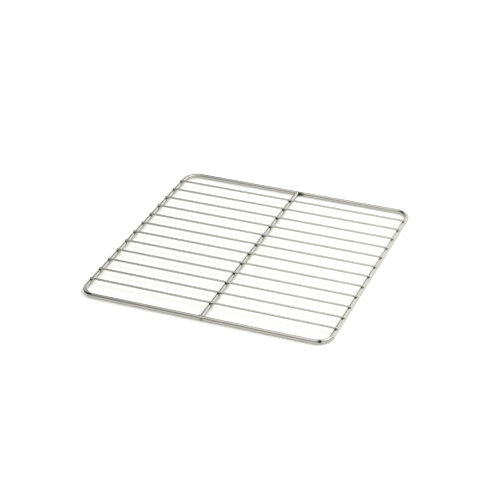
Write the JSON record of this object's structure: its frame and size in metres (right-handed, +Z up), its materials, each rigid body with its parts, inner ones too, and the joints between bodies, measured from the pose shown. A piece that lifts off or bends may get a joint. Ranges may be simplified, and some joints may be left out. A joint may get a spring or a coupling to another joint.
{
  "type": "oven shelf rack",
  "caption": "Flat wire rack for an oven: a round-bar frame with rounded corners, a centre bar and thin straight wires welded across the top to carry trays, tins or food.",
  "frame": {"origin": "middle of the rack, on the plane that the underside of the frame lies on", "axes": "+X along the cross wires, +Y along the centre bar towards the side that is far in the picture, +Z up, with the wires on top"},
  "size_m": [0.325, 0.354, 0.0086],
  "materials": {
    "bright_stainless": "electropolished, bright, slightly warm"
  },
  "bodies": {
    "root": {"frame_bar": "bright_stainless", "centre_bar": "bright_stainless", "cross_wire_01": "bright_stainless", "cross_wire_02": "bright_stainless", "cross_wire_03": "bright_stainless", "cross_wire_04": "bright_stainless", "cross_wire_05": "bright_stainless", "cross_wire_06": "bright_stainless", "cross_wire_07": "bright_stainless", "cross_wire_08": "bright_stainless", "cross_wire_09": "bright_stainless", "cross_wire_10": "bright_stainless", "cross_wire_11": "bright_stainless", "cross_wire_12": "bright_stainless"}
  },
  "joints": []
}
